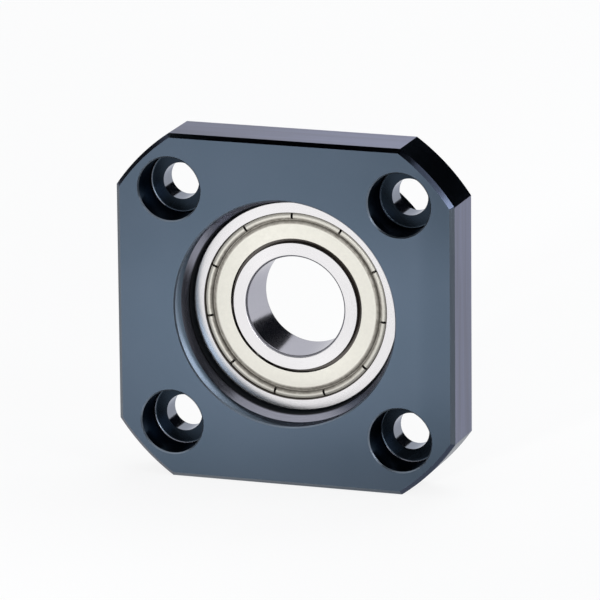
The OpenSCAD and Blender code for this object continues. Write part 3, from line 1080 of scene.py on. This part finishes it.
def floor_finish(colours):
    """A pale floor that shows white and keeps a soft shadow."""
    material = bpy.data.materials.new("studio_floor")
    material.use_nodes = True
    nodes, links = material.node_tree.nodes, material.node_tree.links
    shader = nodes["Principled BSDF"]
    shader.inputs["Base Color"].default_value = (*colours.floor, 1)
    shader.inputs["Roughness"].default_value = 0.9
    shader.inputs["Specular IOR Level"].default_value = 0.0
    glow, seen = seen_white(nodes, links)
    share = nodes.new("ShaderNodeMath")
    share.operation = "MULTIPLY"
    share.inputs[1].default_value = FLOOR_GLOW
    links.new(seen, share.inputs[0])
    mix = nodes.new("ShaderNodeMixShader")
    links.new(share.outputs[0], mix.inputs[0])
    links.new(shader.outputs[0], mix.inputs[1])
    links.new(glow, mix.inputs[2])
    links.new(mix.outputs[0], nodes["Material Output"].inputs["Surface"])
    return material


def flag_finish():
    """Black cloth for the studio's flags."""
    material = bpy.data.materials.new("studio_flag")
    material.use_nodes = True
    shader = material.node_tree.nodes["Principled BSDF"]
    shader.inputs["Base Color"].default_value = (0.004, 0.005, 0.008, 1)
    shader.inputs["Roughness"].default_value = 1.0
    shader.inputs["Specular IOR Level"].default_value = 0.0
    return material


# ---------------------------------------------------------------- the studio

def direction(azimuth, elevation):
    """Unit vector from the part towards a place, azimuth 0 being straight in front."""
    flat = math.cos(elevation)
    return Vector((math.sin(azimuth) * flat, -math.cos(azimuth) * flat, math.sin(elevation)))


def far_place(azimuth, elevation, distance):
    """A place round the part, its angles given in degrees."""
    return direction(math.radians(azimuth), math.radians(elevation)) * distance


def facing(place, target, roll=0.0):
    """The matrix of a camera, lamp or card that stands at a place and looks at a target."""
    back = (place - target).normalized()
    right = Vector((0, 0, 1)).cross(back).normalized()
    up = back.cross(right)
    side = right * math.cos(roll) + up * math.sin(roll)
    top = up * math.cos(roll) - right * math.sin(roll)
    turn = Matrix((side, top, back)).transposed().to_4x4()
    return Matrix.Translation(place) @ turn


def add_camera(studio):
    """The camera."""
    data = bpy.data.cameras.new("camera")
    data.lens = studio.camera_lens
    data.sensor_width = 36
    data.clip_start = 0.05
    data.clip_end = 20
    camera = bpy.data.objects.new("camera", data)
    bpy.context.scene.collection.objects.link(camera)
    target = Vector(studio.target)
    place = target + direction(studio.camera_azimuth, studio.camera_elevation) * \
        studio.camera_distance
    camera.matrix_world = facing(place, target, studio.camera_roll)
    bpy.context.scene.camera = camera


def add_lamp(name, azimuth, elevation, distance, width, height, power):
    """A soft box that looks at the part, its place given in degrees."""
    data = bpy.data.lights.new(name, "AREA")
    data.shape = "RECTANGLE"
    data.size = width
    data.size_y = height
    data.energy = power
    lamp = bpy.data.objects.new(name, data)
    lamp.visible_camera = False
    bpy.context.scene.collection.objects.link(lamp)
    lamp.matrix_world = facing(far_place(azimuth, elevation, distance), Vector((0, 0, 0)))


def add_spot(name, azimuth, elevation, distance, target, spread, radius, power):
    """A spotlight with a soft pool of light, its place and spread given in degrees."""
    data = bpy.data.lights.new(name, "SPOT")
    data.energy = power
    data.shadow_soft_size = radius
    data.spot_size = math.radians(spread)
    data.spot_blend = 1.0
    lamp = bpy.data.objects.new(name, data)
    lamp.visible_camera = False
    lamp.visible_glossy = False
    bpy.context.scene.collection.objects.link(lamp)
    lamp.matrix_world = facing(far_place(azimuth, elevation, distance), Vector(target))
    return lamp


def light_only(lamp, piece):
    """Keeps a lamp's light to one piece, so that none of it falls on the floor."""
    lit = bpy.data.collections.new(lamp.name + "_lit")
    lit.objects.link(piece)
    lamp.light_linking.receiver_collection = lit


def add_flag(name, place, target, width, height, cloth):
    """A black card that only reflections show, turned towards a target."""
    mesh = bpy.data.meshes.new(name)
    x, y = width / 2, height / 2
    mesh.from_pydata([(-x, -y, 0), (x, -y, 0), (x, y, 0), (-x, y, 0)], [], [(0, 1, 2, 3)])
    mesh.transform(facing(Vector(place), Vector(target)))
    mesh.materials.append(cloth)
    flag = add_object(name, mesh)
    flag.visible_camera = False
    flag.visible_diffuse = False
    flag.visible_shadow = False


# ---------------------------------------------------------------- operators

class SupportOperator:
    """What all the operators share."""
    bl_options = {"REGISTER", "UNDO"}

    def settings(self, context):
        """The part's sizes and colours."""
        return context.scene.end_support


def housing_finishes(colours, size):
    """The finishes of the housing's kinds of surface."""
    return {
        "ground": ground_oxide(colours),
        "milled": milled_oxide(colours),
        "chamfer": chamfer_oxide("housing_turned_chamfer", colours.chamfer_oxide),
        "edge": chamfer_oxide("housing_milled_chamfer", scaled(colours.worn_oxide, 0.67)),
        "turned": turned_oxide(colours),
        # The cone's dark rim within 0.15 mm of the seat is painted shade, next to the gap round
        # the bearing.
        "cone": cut_oxide("housing_cone", colours.cone_oxide, TURNED_LINES, roughness=0.16,
                          metallic=0.98, shade_painted_inside=size.seat_diameter / 2 + 0.15 * MM),
        "recess": cut_oxide("housing_recess", colours.recess_oxide, TURNED_LINES,
                            roughness=0.2, metallic=0.9),
        # The seat is painted shade: its colour is darkened so that the gap round the bearing looks
        # black.
        "seat": seat_painted_shade(colours),
        "drilled": cut_oxide("housing_drilled", colours.drilled_oxide, DRILLED_LINES,
                             roughness=0.12),
        "faced": cut_oxide("housing_faced", colours.faced_oxide, MILLED_LINES, roughness=0.26),
        "fillet": cut_oxide("housing_fillet", colours.recess_oxide, MILLED_LINES,
                            roughness=0.2),
        "mouth": worn_oxide("housing_mouth", scaled(colours.worn_oxide, 1.5), worn_outside=0),
        "worn": worn_oxide("housing_worn_edge", colours.worn_oxide,
                           worn_outside=size.recess_diameter / 2 - 0.5 * MM)}


def housing_surface(size, holes):
    """A function that names the kind of surface of a housing face."""
    front = -size.flange_thickness
    half = size.flange_side / 2
    square_on = 0.99         # along the axis
    exactly_flat = 0.9999    # a milled side, not a turned one

    def surface(centre, normal):
        from_axis = math.hypot(centre.x, centre.z)
        off_axis = max(abs(centre.x), abs(centre.z))
        sideways = max(abs(normal.x), abs(normal.z))
        sloping = 0.6 < abs(normal.y) < 0.8    # at about 45 degrees
        if normal.y < -square_on and centre.y < front + NEAR:
            return "ground"
        if normal.y > square_on and abs(centre.y) < NEAR:
            return "ground"
        if sideways > exactly_flat and off_axis > half - NEAR:
            return "milled"
        if sloping and sideways > 0.7 and off_axis > half - size.front_chamfer:
            return "edge"
        if sloping and normal.y < 0 and centre.y < front + size.mouth_chamfer:
            return "mouth"
        if sloping and centre.y < 0:
            outward = normal.x * centre.x + normal.z * centre.z > 0
            return "chamfer" if outward else "cone"
        step = 2 * math.pi / holes.count
        turn = math.atan2(centre.z, centre.x) - holes.first_angle
        turn -= step * round(turn / step)
        from_hole = math.hypot(from_axis * math.cos(turn) - holes.circle_diameter / 2,
                               from_axis * math.sin(turn))
        if from_hole < holes.diameter / 2 + NEAR:
            return "drilled"
        if normal.y < -square_on and from_hole < holes.head_diameter / 2:
            return "faced"
        if normal.y < -0.04 and holes.head_diameter / 2 - holes.floor_fillet < from_hole:
            return "fillet" if from_hole < holes.head_diameter / 2 + NEAR else "turned"
        if abs(from_axis - size.recess_diameter / 2) < NEAR:
            return "recess"
        if abs(from_axis - size.seat_diameter / 2) < NEAR:
            return "seat"
        return "turned"

    return surface


class END_SUPPORT_OT_housing(SupportOperator, bpy.types.Operator):
    """Turns, mills and drills the housing"""
    bl_idname = "end_support.housing"
    bl_label = "Housing"

    def execute(self, context):
        part = self.settings(context)
        size, holes = part.housing, part.holes
        blank = profile_object("housing_blank", housing_profile(size))
        square = square_column(size)
        drill = turned_solid("hole_cutter", fixing_hole_profile(size, holes), HOLE_SEGMENTS)
        finishes = housing_finishes(part.finishes, size)
        run_tree(blank, milled_flange_tree(), Segments=HOUSING_SEGMENTS, Square=square,
                 Hole_Cutter=drill, Hole_Count=holes.count,
                 Hole_Circle_Radius=holes.circle_diameter / 2,
                 First_Hole_Angle=holes.first_angle, Finish=finishes["turned"])
        housing = finished_piece(HOUSING_PIECE, blank)
        bpy.data.objects.remove(square)
        bpy.data.objects.remove(drill)
        finish_faces(housing, finishes, housing_surface(size, holes))
        bevel = housing.modifiers.new("edge_round", "BEVEL")
        bevel.width = size.edge_round
        bevel.segments = ROUND_SEGMENTS
        bevel.limit_method = "ANGLE"
        bevel.angle_limit = math.radians(ROUND_OVER)
        bevel.material = list(finishes).index("worn")
        bevel.harden_normals = True
        hand_over(housing, FIXED_BODY, "housing_steel", "housing")
        return {"FINISHED"}


class END_SUPPORT_OT_rings(SupportOperator, bpy.types.Operator):
    """Turns the bearing's outer and inner ring"""
    bl_idname = "end_support.rings"
    bl_label = "Bearing rings"

    def execute(self, context):
        part = self.settings(context)
        rings = part.bearing
        section = BearingSection(rings, part.shields)
        tree = turned_part_tree()
        finishes = {
            "face": ring_face_steel(part.finishes), "bore": ring_bore_steel(part.finishes),
            # The land's dark colour is painted shade in the gaps beside and under the shields.
            "land": ring_land_steel("ring_turned_land", part.finishes.land_painted_shade),
            "corner": ring_land_steel("ring_corner", scaled(part.finishes.bore_steel, 0.6)),
            "race": raceway_steel(part.finishes)}
        middle = bearing_middle()
        square_on = 0.93     # along the axis, a corner's rounding left out
        straight_in = 0.01

        def surface(centre, normal):
            radius = math.hypot(centre.x, centre.z)
            off_middle = abs(centre.y - middle)
            if section.inner_land < radius < section.shield_seat and off_middle < section.foot:
                return "race"
            if abs(normal.y) > square_on and off_middle > section.face - rings.edge_break:
                return "face"
            inside_land = radius < section.inner_land - rings.edge_break - NEAR
            if inside_land and abs(normal.y) < straight_in:
                return "bore"
            if radius > section.shield_seat + rings.snap_depth:
                return "face" if abs(normal.y) > 0.3 else "bore"
            return "corner" if radius < rings.bore / 2 + rings.corner_radius else "land"

        for name, profile, body in (
                ("outer_ring", outer_ring_profile(rings, section), FIXED_BODY),
                ("inner_ring", inner_ring_profile(rings, section), "inner_ring")):
            blank = profile_object(name + "_section", profile)
            run_tree(blank, tree, Segments=RING_SEGMENTS, Finish=finishes["face"])
            ring = finished_piece(name + "_ground", blank)
            shift(ring, middle)
            finish_faces(ring, finishes, surface)
            hand_over(ring, body, "ring_steel", name)
        return {"FINISHED"}


class END_SUPPORT_OT_shields(SupportOperator, bpy.types.Operator):
    """Presses the two shields and slits their rolled rims"""
    bl_idname = "end_support.shields"
    bl_label = "Shields"

    def execute(self, context):
        part = self.settings(context)
        shield = part.shields
        section = BearingSection(part.bearing, shield)
        tree = slit_shield_tree()
        finishes = {"plated": shield_finish(part.finishes, section),
                    "sheared": slit_painted_shade(part.finishes)}
        middle = bearing_middle()
        mostly = 0.7

        def surface(centre, normal):
            radius = math.hypot(centre.x, centre.z)
            across = (normal.x * centre.z - normal.z * centre.x) / radius
            inward = -(normal.x * centre.x + normal.z * centre.z) / radius
            above_rim = max(0, abs(centre.y - middle) - section.rim_y)
            inside_rim = math.hypot(radius - section.rim, above_rim) < shield.rim_radius
            bore_edge = inward > mostly and radius < section.opening + shield.sheet / 2
            # Slit walls, the inside of the rolled rim and the opening's edge are given the painted
            # shade.
            return "sheared" if abs(across) > mostly or inside_rim or bore_edge else "plated"

        inner = section.channel + shield.channel_radius / 2
        outer = section.shield_seat + PAST
        low = section.channel_y + shield.rim_rise / 2
        deep = 2 * MM
        for name, side in (("shield_back", 1), ("shield_front", -1)):
            blank = profile_object(name + "_section", shield_profile(shield, section))
            run_tree(blank, tree, Segments=SHIELD_SEGMENTS, Slit_Count=shield.slit_count,
                     First_Slit_Angle=shield.slit_start,
                     Slit_Size=(outer - inner, deep, shield.slit_width),
                     Slit_Place=((outer + inner) / 2, low + deep / 2, 0),
                     Finish=finishes["plated"])
            piece = finished_piece(name + "_pressed", blank)
            if side < 0:
                flip_along_axis(piece)
            shift(piece, middle)
            finish_faces(piece, finishes, surface)
            hand_over(piece, FIXED_BODY, "shield_steel", name)
        return {"FINISHED"}


class END_SUPPORT_OT_cage(SupportOperator, bpy.types.Operator):
    """Sets the rivets round the cage and finishes its two halves"""
    bl_idname = "end_support.cage"
    bl_label = "Cage"

    def execute(self, context):
        part = self.settings(context)
        cage = part.cage
        section = BearingSection(part.bearing, part.shields)
        finish = cage_finish(part.finishes)
        blank = profile_object("rivet_section", rivet_profile(cage), closed=False)
        run_tree(blank, rivet_circle_tree(), Segments=RIVET_SEGMENTS,
                 Rivet_Count=cage.rivet_count, Circle_Radius=section.pitch,
                 First_Rivet_Angle=math.pi / 2 + math.pi / cage.rivet_count, Finish=finish)
        rivets = finished_piece("cage_rivets_set", blank)
        shift(rivets, bearing_middle())
        hand_over(rivets, "cage", "cage_steel", "cage_rivets")
        for name in ("cage_front", "cage_back"):
            half = frame["nodes"][name]
            half.data.materials.clear()
            half.data.materials.append(finish)
        return {"FINISHED"}


class END_SUPPORT_OT_balls(SupportOperator, bpy.types.Operator):
    """Polishes the balls"""
    bl_idname = "end_support.balls"
    bl_label = "Balls"

    def execute(self, context):
        finish = ball_finish(self.settings(context).finishes)
        for name, ball in frame["nodes"].items():
            if name.startswith("ball_"):
                ball.data.materials.clear()
                ball.data.materials.append(finish)
        return {"FINISHED"}


class END_SUPPORT_OT_stage(SupportOperator, bpy.types.Operator):
    """Lays the floor and sets the camera and the lamps"""
    bl_idname = "end_support.stage"
    bl_label = "Stage"

    def execute(self, context):
        part = self.settings(context)
        scene = context.scene
        side = part.studio.floor_side / 2
        low = CAD_BOX[0][2]
        mesh = bpy.data.meshes.new("studio_floor")
        mesh.from_pydata([(-side, -side, low), (side, -side, low), (side, side, low),
                          (-side, side, low)], [], [(0, 1, 2, 3)])
        mesh.materials.append(floor_finish(part.finishes))
        add_object("studio_floor", mesh)
        add_camera(part.studio)
        add_lamp("key_soft_box", azimuth=20, elevation=8, distance=1.1,
                 width=0.5, height=0.36, power=3.2)
        add_lamp("edge_soft_box", azimuth=62, elevation=28, distance=1.0,
                 width=0.2, height=0.2, power=1.0)
        add_lamp("fill_soft_box", azimuth=100, elevation=15, distance=1.2,
                 width=0.6, height=0.6, power=4.0)
        add_lamp("top_soft_box", azimuth=170, elevation=55, distance=1.1,
                 width=0.9, height=0.6, power=4.0)
        add_spot("front_spot", azimuth=-10, elevation=3, distance=0.5,
                 target=(-0.005, -0.009, 0.012), spread=14, radius=0.03, power=33.0)
        recess_spot = add_spot("recess_spot", azimuth=84, elevation=8, distance=0.5,
                               target=(-0.012, -0.008, -0.008), spread=5, radius=0.006,
                               power=150.0)
        light_only(recess_spot, bpy.data.objects[HOUSING_PIECE])
        middle = (0, 0, 0)
        cards = {    # each card's place, target, width and height
            "side_card": ((0.020, -0.024, 0.016), (0, -0.024, 0.016), 0.024, 0.068),
            "top_card": ((-0.004, -0.0095, 0.038), middle, 0.070, 0.021),
            "left_flag": (far_place(-93, 21, 0.9), middle, 0.3, 0.3),
            "front_left_flag": (far_place(-11, 19, 0.9), middle, 0.56, 0.40),
            "floor_card": ((0.018, -0.020, -0.0252), (0.018, -0.012, 0), 0.044, 0.016),
            "rear_right_flag": (far_place(164, 19, 0.9), middle, 0.52, 0.44)}
        cloth = flag_finish()
        for name, (place, target, width, height) in cards.items():
            add_flag(name, place, target, width, height, cloth)
        self.light_world(scene)
        scene.view_settings.view_transform = "Standard"
        return {"FINISHED"}

    def light_world(self, scene):
        """A white surround for the camera and reflections, and a soft ambient light."""
        world = bpy.data.worlds.new("studio_world")
        world.use_nodes = True
        scene.world = world
        nodes, links = world.node_tree.nodes, world.node_tree.links
        plain = nodes["Background"]
        plain.inputs["Color"].default_value = (*AMBIENT_COLOUR, 1)
        plain.inputs["Strength"].default_value = AMBIENT_STRENGTH
        glow, seen = seen_white(nodes, links)
        mix = nodes.new("ShaderNodeMixShader")
        links.new(seen, mix.inputs[0])
        links.new(plain.outputs[0], mix.inputs[1])
        links.new(glow, mix.inputs[2])
        links.new(mix.outputs[0], nodes["World Output"].inputs["Surface"])


# ---------------------------------------------------------------- panel and start

OPERATORS = (
    END_SUPPORT_OT_housing, END_SUPPORT_OT_rings, END_SUPPORT_OT_shields, END_SUPPORT_OT_cage,
    END_SUPPORT_OT_balls, END_SUPPORT_OT_stage)


class VIEW3D_PT_end_support(bpy.types.Panel):
    """The end support's operators and sizes"""
    bl_label = "End Support"
    bl_space_type = "VIEW_3D"
    bl_region_type = "UI"
    bl_category = "End Support"

    def draw(self, context):
        for operator in OPERATORS:
            self.layout.operator(operator.bl_idname)
        part = context.scene.end_support
        for group in ("housing", "holes", "bearing", "shields", "cage", "finishes", "studio"):
            box = self.layout.box()
            box.label(text=group.capitalize())
            sizes = getattr(part, group)
            for name in sizes.__annotations__:
                box.prop(sizes, name)


CLASSES = (
    HousingSizes, HoleSizes, BearingSizes, ShieldSizes, CageSizes, Finishes, StudioSizes,
    EndSupport, *OPERATORS, VIEW3D_PT_end_support)


def register():
    """Adds the classes, and the part's settings to the scene."""
    for item in CLASSES:
        bpy.utils.register_class(item)
    bpy.types.Scene.end_support = PointerProperty(type=EndSupport)


def unregister():
    """Takes the classes and the settings out again."""
    del bpy.types.Scene.end_support
    for item in reversed(CLASSES):
        bpy.utils.unregister_class(item)


def corners(box):
    """A box as plain lists of numbers."""
    return [[float(value) for value in corner] for corner in box]


def main():
    """Builds every piece and the stage."""
    register()
    bpy.ops.end_support.housing()
    bpy.ops.end_support.rings()
    bpy.ops.end_support.shields()
    bpy.ops.end_support.cage()
    bpy.ops.end_support.balls()
    bpy.ops.end_support.stage()


if __name__ == "__main__":
    main()
